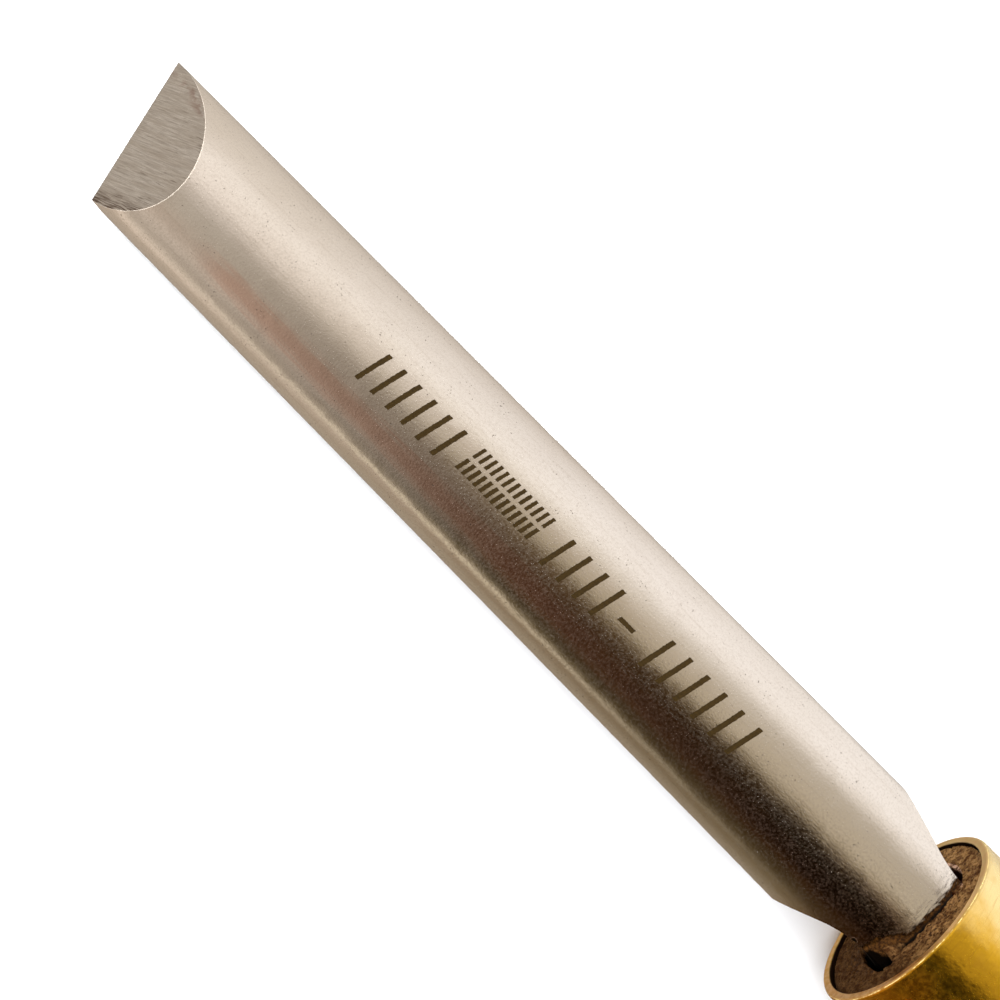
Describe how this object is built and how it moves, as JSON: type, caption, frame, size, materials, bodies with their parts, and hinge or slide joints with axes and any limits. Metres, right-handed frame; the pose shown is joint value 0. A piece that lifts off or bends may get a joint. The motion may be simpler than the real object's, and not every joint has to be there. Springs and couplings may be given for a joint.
{
  "type": "oval skew chisel",
  "caption": "Woodturning skew chisel with a solid oval-section steel blade, slanted double-bevelled edge, ground shoulders, brass ferrule and turned wooden handle.",
  "frame": {"origin": "centre of the ferrule's mouth, on the handle's axis", "axes": "+X along the blade to the cutting edge, +Y towards the heel (rear corner) of the edge, +Z through the blade's thickness"},
  "size_m": [0.2997, 0.03, 0.03],
  "materials": {
    "blade_steel": "satin, fine-ground",
    "ferrule_brass": "satin, turned",
    "handle_wood": "waxed",
    "bedding_adhesive": "rough, dusty"
  },
  "bodies": {
    "root": {"blade": "blade_steel", "ferrule": "ferrule_brass", "handle": "handle_wood", "bedding": "bedding_adhesive"}
  },
  "joints": []
}
